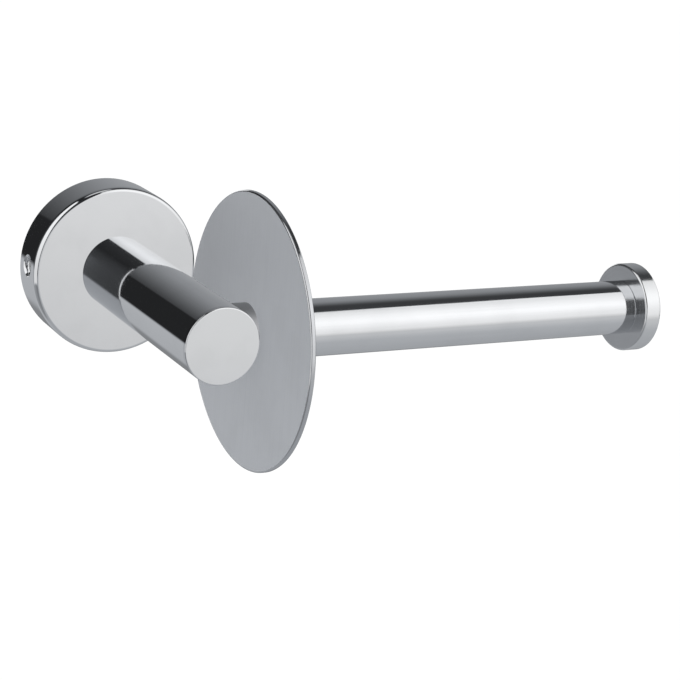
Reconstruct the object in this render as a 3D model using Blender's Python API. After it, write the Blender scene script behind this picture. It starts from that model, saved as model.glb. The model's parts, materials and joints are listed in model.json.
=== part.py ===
"""Wall-mounted toilet paper holder: round flange, straight arm, roll bar, guard disc and end knob.

Metres, +Z up. The origin is the middle of the bracket's face on the wall, which is the plane y = 0.
The arm leaves the wall along -Y, and the roll bar leaves the arm's side along +X.

Each piece is drawn on an axis of its own. A place on the arm's axis is a distance from the wall,
a place on the bar's axis is a distance from the middle of the arm, and a place on the grub screw's
axis is a distance from the middle of the flange.
"""
import math

import bmesh
import bpy

# Clearances: between pieces that touch, between a screw and its tapped hole, and past a cut face
CONTACT_GAP = 0.0003
THREAD_GAP = 0.0003
CUT_OVERRUN = 0.002
WELD_SHARE = 0.001

# Facets round a full turn, and along the flange's rounded edge
FINE_STEPS = 96
TUBE_STEPS = 64
SMALL_STEPS = 32
ROUND_STEPS = 6
SMOOTH_ANGLE = math.radians(30)

# Flange cup
FLANGE_RADIUS = 0.0254
FLANGE_DEPTH = 0.0136
FLANGE_RIM_WALL = 0.0024
FLANGE_FACE_WALL = 0.0018
FLANGE_EDGE_REACH = 0.0012
FLANGE_EDGE_DROP = 0.0018
FLANGE_INNER_DEPTH = FLANGE_DEPTH - FLANGE_FACE_WALL
FLANGE_BORE_RADIUS = FLANGE_RADIUS - FLANGE_RIM_WALL

# Grub screw in the flange's rim, just above nine o'clock
SET_SCREW_RADIUS = 0.0025
SET_SCREW_LENGTH = 0.0060
SET_SCREW_RECESS = 0.0013
SET_SCREW_SOCKET = 0.0025
SET_SCREW_CHAMFER = 0.0004
SET_SCREW_ANGLE = math.radians(2.5)
SET_SCREW_DEPTH_SHARE = 0.48
SET_SCREW_TIP_SHARE = 0.6
SOCKET_DEPTH_SHARE = 0.45
SET_SCREW_DEPTH = FLANGE_DEPTH * SET_SCREW_DEPTH_SHARE
SET_SCREW_HEAD = FLANGE_RADIUS - SET_SCREW_RECESS
SET_SCREW_TIP = SET_SCREW_HEAD - SET_SCREW_LENGTH
SET_SCREW_HOLE_RADIUS = SET_SCREW_RADIUS + THREAD_GAP
SET_SCREW_HOLE_LIP = 0.0005

# Tapped boss behind the grub screw's hole
BOSS_WIDTH = 0.0110
BOSS_WALL_ROOM = 0.0010
BOSS_INNER_PLACE = SET_SCREW_TIP + CONTACT_GAP
BOSS_OUTER_RADIUS = FLANGE_BORE_RADIUS - CONTACT_GAP

# Arm tube and its end cap
ARM_RADIUS = 0.0107
ARM_WALL = 0.0012
ARM_PROJECTION = 0.0905
ARM_CAP_THICKNESS = 0.0015
ARM_CAP_SPIGOT = 0.0015
ARM_EDGE_BREAK = 0.0004
ARM_BORE_RADIUS = ARM_RADIUS - ARM_WALL
ARM_PLUG_RADIUS = ARM_BORE_RADIUS - CONTACT_GAP
ARM_START = FLANGE_DEPTH + CONTACT_GAP
ARM_CAP_REAR = ARM_PROJECTION - ARM_CAP_THICKNESS

# Bolt that holds the arm to the flange, with its washer and the plug that it screws into
ARM_PLUG_LENGTH = 0.0160
ARM_BOLT_RADIUS = 0.0040
ARM_BOLT_REACH = 0.0130
ARM_BOLT_HEAD_RADIUS = 0.0065
ARM_BOLT_HEAD_HEIGHT = 0.0035
ARM_BOLT_SOCKET = 0.0050
ARM_BOLT_CHAMFER = 0.0005
WASHER_THICKNESS = 0.0010
WASHER_BORDER = 0.0012
ARM_BOLT_HOLE_RADIUS = ARM_BOLT_RADIUS + THREAD_GAP
WASHER_RADIUS = ARM_BOLT_HEAD_RADIUS + WASHER_BORDER
WASHER_FRONT = FLANGE_INNER_DEPTH - CONTACT_GAP
WASHER_BACK = WASHER_FRONT - WASHER_THICKNESS

# Wall bracket, with a flat for the grub screw's point
BRACKET_PLATE = 0.0018
BRACKET_WALL = 0.0017
BRACKET_FRONT_ROOM = 0.0014
BRACKET_RADIUS = FLANGE_BORE_RADIUS - CONTACT_GAP
BRACKET_INNER_RADIUS = BRACKET_RADIUS - BRACKET_WALL
BRACKET_HEIGHT = FLANGE_INNER_DEPTH - BRACKET_FRONT_ROOM
BRACKET_FLAT = SET_SCREW_TIP - CONTACT_GAP

# Wall screws, in slots midway between the arm bolt's washer and the bracket's rim
WALL_SCREW_RADIUS = 0.0020
WALL_SCREW_LENGTH = 0.0250
WALL_SCREW_POINT = 0.0045
WALL_SCREW_HEAD_RADIUS = 0.0038
WALL_SCREW_HEAD_HEIGHT = 0.0024
WALL_SCREW_HEAD_EDGE = 0.0007
WALL_SCREW_PLACE = (WASHER_RADIUS + BRACKET_INNER_RADIUS) / 2
WALL_SCREW_SEAT = BRACKET_PLATE + CONTACT_GAP
WALL_SCREW_TOP = WALL_SCREW_SEAT + WALL_SCREW_HEAD_HEIGHT
SLOT_SIDE_ROOM = 0.0004
SLOT_LENGTH_SHARE = 0.68
RECESS_DEPTH_SHARE = 0.55
RECESS_SPAN_SHARE = 0.62
RECESS_BLADE_SHARE = 0.13

# Guard disc, which stands off the arm's side
DISC_RADIUS = 0.0382
DISC_THICKNESS = 0.0015
DISC_STANDOFF = 0.0014
DISC_EDGE_BREAK = 0.0003
DISC_NEAR = ARM_RADIUS + DISC_STANDOFF
DISC_FAR = DISC_NEAR + DISC_THICKNESS

# Roll bar
BAR_SETBACK = 0.0113
BAR_RADIUS = 0.0080
BAR_WALL = 0.0010
BAR_PLUG_LENGTH = 0.0200
ROLL_SPACE = 0.1224
BAR_PLACE = ARM_PROJECTION - BAR_SETBACK
BAR_BORE_RADIUS = BAR_RADIUS - BAR_WALL
BAR_PLUG_RADIUS = BAR_BORE_RADIUS - CONTACT_GAP

# Stud between the arm and the bar, and the block inside the arm that it screws into
BAR_STUD_RADIUS = 0.0030
BAR_STUD_REACH = 0.0160
BAR_STUD_ENTRY_SHARE = 0.60
STUD_CHAMFER = 0.0005
BAR_STUD_HOLE_RADIUS = BAR_STUD_RADIUS + THREAD_GAP
BAR_STUD_START = -ARM_PLUG_RADIUS * BAR_STUD_ENTRY_SHARE
BAR_STUD_END = DISC_FAR + BAR_STUD_REACH
BLOCK_HALF_LENGTH = BAR_SETBACK - ARM_CAP_THICKNESS - ARM_CAP_SPIGOT - CONTACT_GAP

# End knob, and the stud that holds it on the bar
KNOB_LIP = 0.0051
KNOB_THICKNESS = 0.0054
KNOB_EDGE_BREAK = 0.0008
KNOB_SPIGOT = 0.0020
KNOB_STUD_RADIUS = 0.0025
KNOB_STUD_REACH = 0.0120
KNOB_STUD_ENTRY_SHARE = 0.60
KNOB_RADIUS = BAR_RADIUS + KNOB_LIP
KNOB_NEAR = DISC_FAR + ROLL_SPACE
KNOB_FAR = KNOB_NEAR + KNOB_THICKNESS
KNOB_REAR = KNOB_NEAR - KNOB_SPIGOT
KNOB_STUD_HOLE_RADIUS = KNOB_STUD_RADIUS + THREAD_GAP
KNOB_STUD_START = KNOB_REAR - KNOB_STUD_REACH
KNOB_STUD_END = KNOB_NEAR + KNOB_THICKNESS * KNOB_STUD_ENTRY_SHARE


def metal(name, colour, roughness):
    """A bare metal finish."""
    material = bpy.data.materials.new(name)
    material.use_nodes = True
    shader = material.node_tree.nodes["Principled BSDF"]
    shader.inputs["Base Color"].default_value = (*colour, 1.0)
    shader.inputs["Metallic"].default_value = 1.0
    shader.inputs["Roughness"].default_value = roughness
    material.diffuse_color = (*colour, 1.0)
    return material


def axis_empty(name, location, rotation, parent=None):
    """An empty whose own Z axis is the axis that its pieces are drawn on."""
    empty = bpy.data.objects.new(name, None)
    bpy.context.collection.objects.link(empty)
    empty.parent = parent
    empty.location = location
    empty.rotation_euler = rotation
    return empty


def place(name, mesh, axis, material=None):
    """Put a mesh on its axis. Without a material it is a cutter, shown as wire only."""
    obj = bpy.data.objects.new(name, mesh)
    bpy.context.collection.objects.link(obj)
    obj.parent = axis
    if material:
        obj.material_slots[0].link = "OBJECT"
        obj.material_slots[0].material = material
    else:
        obj.hide_render = True
        obj.display_type = "WIRE"
    return obj


def close_mesh(name, bm):
    """Make a mesh of a bmesh, faces outwards and round sides smooth."""
    bmesh.ops.remove_doubles(bm, verts=bm.verts, dist=CONTACT_GAP * WELD_SHARE)
    bmesh.ops.recalc_face_normals(bm, faces=bm.faces)
    mesh = bpy.data.meshes.new(name)
    bm.to_mesh(mesh)
    bm.free()
    mesh.materials.append(None)
    mesh.shade_smooth()
    mesh.set_sharp_from_angle(angle=SMOOTH_ANGLE)
    return mesh


def turned_mesh(name, profile, steps):
    """Turn a profile of (distance along Z, radius) points once round Z.

    A profile whose ends lie on the axis makes a solid piece. Any other one makes a ring,
    and its last point is joined to its first.
    """
    bm = bmesh.new()
    points = [bm.verts.new((radius, 0, along)) for along, radius in profile]
    edges = [bm.edges.new(pair) for pair in zip(points, points[1:])]
    if profile[0][1] > 0:
        edges.append(bm.edges.new((points[-1], points[0])))
    bmesh.ops.spin(
        bm, geom=points + edges, cent=(0, 0, 0), axis=(0, 0, 1), angle=math.tau, steps=steps,
        use_merge=True,
    )
    return close_mesh(name, bm)


def prism_mesh(name, outline, low, high):
    """Extrude a closed outline of (x, y) points from low to high along Z."""
    bm = bmesh.new()
    base = bm.faces.new([bm.verts.new((x, y, low)) for x, y in outline])
    grown = bmesh.ops.extrude_face_region(bm, geom=[base])
    moved = [item for item in grown["geom"] if isinstance(item, bmesh.types.BMVert)]
    bmesh.ops.translate(bm, verts=moved, vec=(0, 0, high - low))
    return close_mesh(name, bm)


def turned(name, axis, profile, steps, material=None):
    """A turned piece or cutter on its axis."""
    return place(name, turned_mesh(name, profile, steps), axis, material)


def prism(name, axis, outline, low, high, material=None):
    """An extruded piece or cutter on its axis."""
    return place(name, prism_mesh(name, outline, low, high), axis, material)


def carve(piece, cutter, operation="DIFFERENCE"):
    """Cut one object with another, exactly."""
    boolean = piece.modifiers.new(cutter.name, "BOOLEAN")
    boolean.operation = operation
    boolean.solver = "EXACT"
    boolean.object = cutter


def arc(centre, radius, start, end, steps):
    """Points on a circle from angle start to angle end, both included."""
    angles = [start + (end - start) * step / steps for step in range(steps + 1)]
    return [(centre[0] + radius * math.cos(a), centre[1] + radius * math.sin(a)) for a in angles]


def oval_arc(centre, along, across, start, end, steps):
    """Points on an oval with the half widths along and across, from angle start to angle end."""
    circle = arc((0, 0), 1, start, end, steps)
    return [(centre[0] + along * x, centre[1] + across * y) for x, y in circle]


def rod(start, end, radius, chamfer=0.0):
    """Profile of a solid rod, with both ends chamfered where a chamfer is given."""
    if not chamfer:
        return [(start, 0), (start, radius), (end, radius), (end, 0)]
    near_end = [(start, 0), (start, radius - chamfer), (start + chamfer, radius)]
    far_end = [(end - chamfer, radius), (end, radius - chamfer), (end, 0)]
    return near_end + far_end


def ring(start, end, inner, outer):
    """Profile of a plain tube or ring."""
    return [(start, inner), (start, outer), (end, outer), (end, inner)]


def d_outline(radius, flat):
    """A circle with a flat side at x = -flat."""
    corner = math.acos(-flat / radius)
    return arc((0, 0), radius, -corner, corner, TUBE_STEPS)


def stadium(length, width):
    """A slot with round ends, along X."""
    end = (length - width) / 2
    half_turn = math.pi / 2
    right = arc((end, 0), width / 2, -half_turn, half_turn, SMALL_STEPS // 2)
    left = arc((-end, 0), width / 2, half_turn, 3 * half_turn, SMALL_STEPS // 2)
    return right + left


def hexagon(across_flats):
    """A hexagon given by the distance between its flats."""
    return arc((0, 0), across_flats / math.sqrt(3), 0, 5 * math.pi / 3, 5)


def plus_outline(span, blade):
    """The plus shape of a cross recess: one quarter, turned four times."""
    far, near = span / 2, blade / 2
    x, y = (far, near, near), (near, near, far)
    quarters = ((x, y, 1, 1), (y, x, -1, 1), (x, y, -1, -1), (y, x, 1, -1))
    return [(sx * a, sy * b) for xs, ys, sx, sy in quarters for a, b in zip(xs, ys)]


def build_wall_bracket(wall_axis, steel):
    """D-shaped cup on the wall: plate, rim, a flat for the grub screw's point and two slots."""
    outline = d_outline(BRACKET_RADIUS, BRACKET_FLAT)
    bracket = prism("wall_bracket", wall_axis, outline, 0, BRACKET_HEIGHT, steel)
    pocket_outline = d_outline(BRACKET_INNER_RADIUS, BRACKET_FLAT - BRACKET_WALL)
    pocket = prism(
        "bracket_pocket_cut", wall_axis, pocket_outline, BRACKET_PLATE, BRACKET_HEIGHT + CUT_OVERRUN
    )
    for turned_piece in (bracket, pocket):
        turned_piece.rotation_euler = (0, 0, -SET_SCREW_ANGLE)
    carve(bracket, pocket)

    slot_length = (BRACKET_INNER_RADIUS - WASHER_RADIUS) * SLOT_LENGTH_SHARE
    slot_outline = stadium(slot_length, 2 * (WALL_SCREW_RADIUS + SLOT_SIDE_ROOM))
    slot_mesh = prism_mesh(
        "bracket_slot_cut", slot_outline, -CUT_OVERRUN, BRACKET_PLATE + CUT_OVERRUN
    )
    for label, side, turn in (("upper", 1, 0), ("lower", -1, math.pi / 2)):
        slot = place(f"bracket_slot_{label}_cut", slot_mesh, wall_axis)
        slot.location = (0, side * WALL_SCREW_PLACE, 0)
        slot.rotation_euler = (0, 0, turn)
        carve(bracket, slot)


def build_wall_screws(wall_axis, zinc):
    """Two pan-head screws with a cross recess, seated on the bracket's plate."""
    tip = WALL_SCREW_SEAT - WALL_SCREW_LENGTH
    profile = [
        (tip, 0),
        (tip + WALL_SCREW_POINT, WALL_SCREW_RADIUS),
        (WALL_SCREW_SEAT, WALL_SCREW_RADIUS),
        (WALL_SCREW_SEAT, WALL_SCREW_HEAD_RADIUS),
        (WALL_SCREW_TOP - WALL_SCREW_HEAD_EDGE, WALL_SCREW_HEAD_RADIUS),
        (WALL_SCREW_TOP, WALL_SCREW_HEAD_RADIUS - WALL_SCREW_HEAD_EDGE),
        (WALL_SCREW_TOP, 0),
    ]
    screw_mesh = turned_mesh("wall_screw", profile, SMALL_STEPS)
    head_width = 2 * WALL_SCREW_HEAD_RADIUS
    recess_outline = plus_outline(head_width * RECESS_SPAN_SHARE, head_width * RECESS_BLADE_SHARE)
    recess_floor = WALL_SCREW_TOP - WALL_SCREW_HEAD_HEIGHT * RECESS_DEPTH_SHARE
    recess_mesh = prism_mesh(
        "wall_screw_recess_cut", recess_outline, recess_floor, WALL_SCREW_TOP + CUT_OVERRUN
    )
    for label, side in (("upper", 1), ("lower", -1)):
        screw = place(f"wall_screw_{label}", screw_mesh, wall_axis, zinc)
        recess = place(f"wall_screw_{label}_recess_cut", recess_mesh, wall_axis)
        for obj in (screw, recess):
            obj.location = (0, side * WALL_SCREW_PLACE, 0)
        carve(screw, recess)


def build_set_screw_hole(screw_axis):
    """Cutter of the grub screw's tapped hole, which opens out into a lip at the rim."""
    start = BOSS_INNER_PLACE - CUT_OVERRUN
    lip = FLANGE_RADIUS - SET_SCREW_HOLE_LIP
    end = FLANGE_RADIUS + CUT_OVERRUN
    profile = [
        (start, 0), (start, SET_SCREW_HOLE_RADIUS), (lip, SET_SCREW_HOLE_RADIUS),
        (end, SET_SCREW_HOLE_RADIUS + end - lip), (end, 0),
    ]
    return turned("set_screw_hole_cut", screw_axis, profile, SMALL_STEPS)


def build_flange_cup(arm_axis, hole_cut, polished):
    """Turned cup with a rounded front edge and a bolt hole in its face."""
    edge_centre = (FLANGE_DEPTH - FLANGE_EDGE_DROP, FLANGE_RADIUS - FLANGE_EDGE_REACH)
    rounded_edge = oval_arc(
        edge_centre, FLANGE_EDGE_DROP, FLANGE_EDGE_REACH, math.pi / 2, 0, ROUND_STEPS
    )
    profile = [
        (0, FLANGE_BORE_RADIUS), (0, FLANGE_RADIUS), *rounded_edge,
        (FLANGE_DEPTH, ARM_BOLT_HOLE_RADIUS), (FLANGE_INNER_DEPTH, ARM_BOLT_HOLE_RADIUS),
        (FLANGE_INNER_DEPTH, FLANGE_BORE_RADIUS),
    ]
    flange = turned("flange_cup", arm_axis, profile, FINE_STEPS, polished)
    carve(flange, hole_cut)


def build_set_screw_boss(arm_axis, screw_axis, hole_cut, steel):
    """Block inside the rim, rounded on its outer side to fit the flange's bore."""
    wall_side = BOSS_WALL_ROOM - SET_SCREW_DEPTH
    face_side = FLANGE_INNER_DEPTH - CONTACT_GAP - SET_SCREW_DEPTH
    half = BOSS_WIDTH / 2
    outline = [(wall_side, -half), (face_side, -half), (face_side, half), (wall_side, half)]
    boss = prism("set_screw_boss", screw_axis, outline, BOSS_INNER_PLACE, FLANGE_RADIUS, steel)
    bore = rod(-CUT_OVERRUN, FLANGE_DEPTH, BOSS_OUTER_RADIUS)
    carve(boss, turned("boss_bore_fit", arm_axis, bore, FINE_STEPS), "INTERSECT")
    carve(boss, hole_cut)


def build_set_screw(screw_axis, dark_steel):
    """Grub screw with a flat point and a hex socket."""
    point_radius = SET_SCREW_RADIUS * SET_SCREW_TIP_SHARE
    profile = [
        (SET_SCREW_TIP, 0),
        (SET_SCREW_TIP, point_radius),
        (SET_SCREW_TIP + SET_SCREW_RADIUS - point_radius, SET_SCREW_RADIUS),
        (SET_SCREW_HEAD - SET_SCREW_CHAMFER, SET_SCREW_RADIUS),
        (SET_SCREW_HEAD, SET_SCREW_RADIUS - SET_SCREW_CHAMFER),
        (SET_SCREW_HEAD, 0),
    ]
    screw = turned("set_screw", screw_axis, profile, SMALL_STEPS, dark_steel)
    floor = SET_SCREW_HEAD - SET_SCREW_LENGTH * SOCKET_DEPTH_SHARE
    mouth = SET_SCREW_HEAD + CUT_OVERRUN
    socket = prism("set_screw_socket_cut", screw_axis, hexagon(SET_SCREW_SOCKET), floor, mouth)
    carve(screw, socket)


def build_arm_tube(arm_axis, bar_axis, polished):
    """Straight tube with a hole in its side for the bar's stud."""
    profile = ring(ARM_START, ARM_CAP_REAR - CONTACT_GAP, ARM_BORE_RADIUS, ARM_RADIUS)
    tube = turned("arm_tube", arm_axis, profile, TUBE_STEPS, polished)
    side_hole = rod(0, ARM_RADIUS + CUT_OVERRUN, BAR_STUD_HOLE_RADIUS)
    carve(tube, turned("arm_side_hole_cut", bar_axis, side_hole, SMALL_STEPS))


def build_arm_end_cap(arm_axis, polished):
    """Disc that closes the front of the arm, with a spigot inside the tube."""
    spigot_rear = ARM_CAP_REAR - ARM_CAP_SPIGOT
    profile = [
        (spigot_rear, 0), (spigot_rear, ARM_PLUG_RADIUS), (ARM_CAP_REAR, ARM_PLUG_RADIUS),
        (ARM_CAP_REAR, ARM_RADIUS), (ARM_PROJECTION - ARM_EDGE_BREAK, ARM_RADIUS),
        (ARM_PROJECTION, ARM_RADIUS - ARM_EDGE_BREAK), (ARM_PROJECTION, 0),
    ]
    turned("arm_end_cap", arm_axis, profile, TUBE_STEPS, polished)


def build_arm_base_plug(arm_axis, steel):
    """Tapped plug in the wall end of the arm."""
    profile = ring(ARM_START, ARM_START + ARM_PLUG_LENGTH, ARM_BOLT_HOLE_RADIUS, ARM_PLUG_RADIUS)
    turned("arm_base_plug", arm_axis, profile, SMALL_STEPS, steel)


def build_arm_bolt_washer(arm_axis, zinc):
    """Flat washer under the arm bolt's head, inside the cup."""
    profile = ring(WASHER_BACK, WASHER_FRONT, ARM_BOLT_HOLE_RADIUS, WASHER_RADIUS)
    turned("arm_bolt_washer", arm_axis, profile, SMALL_STEPS, zinc)


def build_arm_bolt(arm_axis, zinc):
    """Low-head bolt from inside the cup into the arm's plug."""
    head_front = WASHER_BACK - CONTACT_GAP
    head_back = head_front - ARM_BOLT_HEAD_HEIGHT
    tip = FLANGE_DEPTH + ARM_BOLT_REACH
    profile = [
        (head_back, 0),
        (head_back, ARM_BOLT_HEAD_RADIUS - ARM_BOLT_CHAMFER),
        (head_back + ARM_BOLT_CHAMFER, ARM_BOLT_HEAD_RADIUS),
        (head_front, ARM_BOLT_HEAD_RADIUS),
        (head_front, ARM_BOLT_RADIUS),
        (tip - ARM_BOLT_CHAMFER, ARM_BOLT_RADIUS),
        (tip, ARM_BOLT_RADIUS - ARM_BOLT_CHAMFER),
        (tip, 0),
    ]
    bolt = turned("arm_bolt", arm_axis, profile, SMALL_STEPS, zinc)
    floor = head_back + ARM_BOLT_HEAD_HEIGHT * SOCKET_DEPTH_SHARE
    mouth = head_back - CUT_OVERRUN
    carve(bolt, prism("arm_bolt_socket_cut", arm_axis, hexagon(ARM_BOLT_SOCKET), mouth, floor))


def build_cross_block(arm_axis, bar_axis, steel):
    """Solid block in the front of the arm, with a tapped blind hole for the bar's stud."""
    profile = rod(BAR_PLACE - BLOCK_HALF_LENGTH, BAR_PLACE + BLOCK_HALF_LENGTH, ARM_PLUG_RADIUS)
    block = turned("cross_block", arm_axis, profile, SMALL_STEPS, steel)
    hole = rod(BAR_STUD_START - CONTACT_GAP, ARM_RADIUS, BAR_STUD_HOLE_RADIUS)
    carve(block, turned("cross_block_hole_cut", bar_axis, hole, SMALL_STEPS))


def build_bar_stud(bar_axis, zinc):
    """Threaded rod that draws the bar, disc and collar against the arm."""
    profile = rod(BAR_STUD_START, BAR_STUD_END, BAR_STUD_RADIUS, STUD_CHAMFER)
    turned("bar_stud", bar_axis, profile, SMALL_STEPS, zinc)


def build_saddle_collar(arm_axis, bar_axis, polished):
    """Short collar as wide as the bar, hollowed on one side to sit on the round arm."""
    profile = ring(0, DISC_NEAR - CONTACT_GAP, BAR_STUD_HOLE_RADIUS, BAR_RADIUS)
    collar = turned("saddle_collar", bar_axis, profile, TUBE_STEPS, polished)
    saddle = rod(0, ARM_PROJECTION + CUT_OVERRUN, ARM_RADIUS + CONTACT_GAP)
    carve(collar, turned("collar_saddle_cut", arm_axis, saddle, FINE_STEPS))


def build_guard_disc(bar_axis, polished):
    """Thin disc that keeps the roll off the arm."""
    profile = [
        (DISC_NEAR, BAR_STUD_HOLE_RADIUS),
        (DISC_NEAR, DISC_RADIUS - DISC_EDGE_BREAK),
        (DISC_NEAR + DISC_EDGE_BREAK, DISC_RADIUS),
        (DISC_FAR - DISC_EDGE_BREAK, DISC_RADIUS),
        (DISC_FAR, DISC_RADIUS - DISC_EDGE_BREAK),
        (DISC_FAR, BAR_STUD_HOLE_RADIUS),
    ]
    turned("guard_disc", bar_axis, profile, FINE_STEPS, polished)


def build_bar_tube(bar_axis, polished):
    """Straight tube that carries the paper roll."""
    profile = ring(DISC_FAR + CONTACT_GAP, KNOB_NEAR - CONTACT_GAP, BAR_BORE_RADIUS, BAR_RADIUS)
    turned("bar_tube", bar_axis, profile, TUBE_STEPS, polished)


def build_bar_inner_plug(bar_axis, steel):
    """Plug in the arm end of the bar, tapped for the bar's stud."""
    start = DISC_FAR + CONTACT_GAP
    profile = rod(start, start + BAR_PLUG_LENGTH, BAR_PLUG_RADIUS)
    plug = turned("bar_inner_plug", bar_axis, profile, SMALL_STEPS, steel)
    drill = rod(DISC_NEAR, BAR_STUD_END + CONTACT_GAP, BAR_STUD_HOLE_RADIUS)
    carve(plug, turned("bar_inner_plug_drill_cut", bar_axis, drill, SMALL_STEPS))


def build_bar_outer_plug(bar_axis, steel):
    """Plug in the free end of the bar, tapped for the knob's stud."""
    end = KNOB_REAR - CONTACT_GAP
    profile = rod(end - BAR_PLUG_LENGTH, end, BAR_PLUG_RADIUS)
    plug = turned("bar_outer_plug", bar_axis, profile, SMALL_STEPS, steel)
    drill = rod(KNOB_STUD_START - CONTACT_GAP, KNOB_NEAR, KNOB_STUD_HOLE_RADIUS)
    carve(plug, turned("bar_outer_plug_drill_cut", bar_axis, drill, SMALL_STEPS))


def build_knob_stud(bar_axis, zinc):
    """Threaded rod between the outer plug and the knob."""
    profile = rod(KNOB_STUD_START, KNOB_STUD_END, KNOB_STUD_RADIUS, STUD_CHAMFER)
    turned("knob_stud", bar_axis, profile, SMALL_STEPS, zinc)


def build_end_knob(bar_axis, polished):
    """Thick round knob with a spigot inside the bar and a tapped blind hole."""
    profile = [
        (KNOB_REAR, 0),
        (KNOB_REAR, BAR_PLUG_RADIUS),
        (KNOB_NEAR, BAR_PLUG_RADIUS),
        (KNOB_NEAR, KNOB_RADIUS - KNOB_EDGE_BREAK),
        (KNOB_NEAR + KNOB_EDGE_BREAK, KNOB_RADIUS),
        (KNOB_FAR - KNOB_EDGE_BREAK, KNOB_RADIUS),
        (KNOB_FAR, KNOB_RADIUS - KNOB_EDGE_BREAK),
        (KNOB_FAR, 0),
    ]
    knob = turned("end_knob", bar_axis, profile, TUBE_STEPS, polished)
    drill = rod(KNOB_REAR - CUT_OVERRUN, KNOB_STUD_END + CONTACT_GAP, KNOB_STUD_HOLE_RADIUS)
    carve(knob, turned("end_knob_drill_cut", bar_axis, drill, SMALL_STEPS))


def main():
    for obj in list(bpy.data.objects):
        bpy.data.objects.remove(obj, do_unlink=True)

    polished = metal("polished_steel", (0.80, 0.81, 0.82), 0.06)
    steel = metal("machined_steel", (0.60, 0.60, 0.60), 0.30)
    zinc = metal("zinc_plated_steel", (0.70, 0.71, 0.72), 0.35)
    dark_steel = metal("set_screw_steel", (0.45, 0.46, 0.47), 0.30)

    # Local Z of the wall and arm axes points away from the wall, and local Y points up
    off_the_wall = (math.pi / 2, 0, 0)
    wall_axis = axis_empty("wall_axis", (0, 0, 0), off_the_wall)
    arm_axis = axis_empty("arm_axis", (0, 0, 0), off_the_wall)
    out_of_the_rim = (0, -math.pi / 2, -SET_SCREW_ANGLE)
    screw_axis = axis_empty("set_screw_axis", (0, 0, SET_SCREW_DEPTH), out_of_the_rim, arm_axis)
    bar_axis = axis_empty("bar_axis", (0, 0, BAR_PLACE), (0, math.pi / 2, 0), arm_axis)

    build_wall_bracket(wall_axis, steel)
    build_wall_screws(wall_axis, zinc)

    hole_cut = build_set_screw_hole(screw_axis)
    build_flange_cup(arm_axis, hole_cut, polished)
    build_set_screw_boss(arm_axis, screw_axis, hole_cut, steel)
    build_set_screw(screw_axis, dark_steel)

    build_arm_tube(arm_axis, bar_axis, polished)
    build_arm_end_cap(arm_axis, polished)
    build_arm_base_plug(arm_axis, steel)
    build_arm_bolt_washer(arm_axis, zinc)
    build_arm_bolt(arm_axis, zinc)

    build_cross_block(arm_axis, bar_axis, steel)
    build_bar_stud(bar_axis, zinc)
    build_saddle_collar(arm_axis, bar_axis, polished)
    build_guard_disc(bar_axis, polished)

    build_bar_tube(bar_axis, polished)
    build_bar_inner_plug(bar_axis, steel)
    build_bar_outer_plug(bar_axis, steel)
    build_knob_stud(bar_axis, zinc)
    build_end_knob(bar_axis, polished)


main()
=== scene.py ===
# %% [markdown]
# # A wall-mounted toilet paper holder in polished steel
#
# The real holder is a handful of turned steel pieces: a cup-shaped flange that hides the wall bracket,
# a straight arm, a thinner bar for the roll, a thin guard disc beside the arm and a round knob at the
# free end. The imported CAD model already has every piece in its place, in metres. This script loads it,
# and then dresses it: smooth surfaces where the polish shows every facet, metal finishes, a studio and
# a camera. Axes: the wall is the plane y = 0, the arm leaves it along -Y, and the bar runs along +X.

import json
import math

import bpy
import numpy as np
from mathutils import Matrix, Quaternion, Vector


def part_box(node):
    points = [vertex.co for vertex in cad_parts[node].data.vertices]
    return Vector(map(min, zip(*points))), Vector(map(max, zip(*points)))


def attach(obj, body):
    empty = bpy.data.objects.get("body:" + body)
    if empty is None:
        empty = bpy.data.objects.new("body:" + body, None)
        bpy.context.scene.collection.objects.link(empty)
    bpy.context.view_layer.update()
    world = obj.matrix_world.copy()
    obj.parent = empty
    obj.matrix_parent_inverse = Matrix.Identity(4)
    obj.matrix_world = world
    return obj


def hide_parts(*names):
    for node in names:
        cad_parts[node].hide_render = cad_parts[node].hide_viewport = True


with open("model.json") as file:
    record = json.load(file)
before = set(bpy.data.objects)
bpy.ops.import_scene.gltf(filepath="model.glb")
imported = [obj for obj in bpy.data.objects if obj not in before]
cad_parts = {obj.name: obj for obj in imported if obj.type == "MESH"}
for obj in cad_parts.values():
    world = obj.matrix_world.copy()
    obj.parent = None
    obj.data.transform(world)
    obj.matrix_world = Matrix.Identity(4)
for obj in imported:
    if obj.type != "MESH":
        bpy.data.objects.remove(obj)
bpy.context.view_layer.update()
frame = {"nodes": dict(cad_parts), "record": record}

# %% [markdown]
# ## The camera
#
# The photograph was taken from the front and left, a little above the holder, with a long lens and
# the camera slightly tilted. A camera in Blender looks along its own -Z axis. Its direction is
# easiest to read as an azimuth, an elevation and a roll, so those three are written here, and
# mathutils turns the direction into a rotation.

# %% Camera at the photograph's angle
CAMERA_PLACE = Vector((-0.19362, -0.50186, 0.13807))
CAMERA_AZIMUTH = math.radians(-29.03)
CAMERA_ELEVATION = math.radians(16.40)
CAMERA_ROLL = math.radians(4.87)
SENSOR_WIDTH = 36.0
LENS = 96.1
CLIP_RANGE = (0.01, 50.0)

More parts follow.
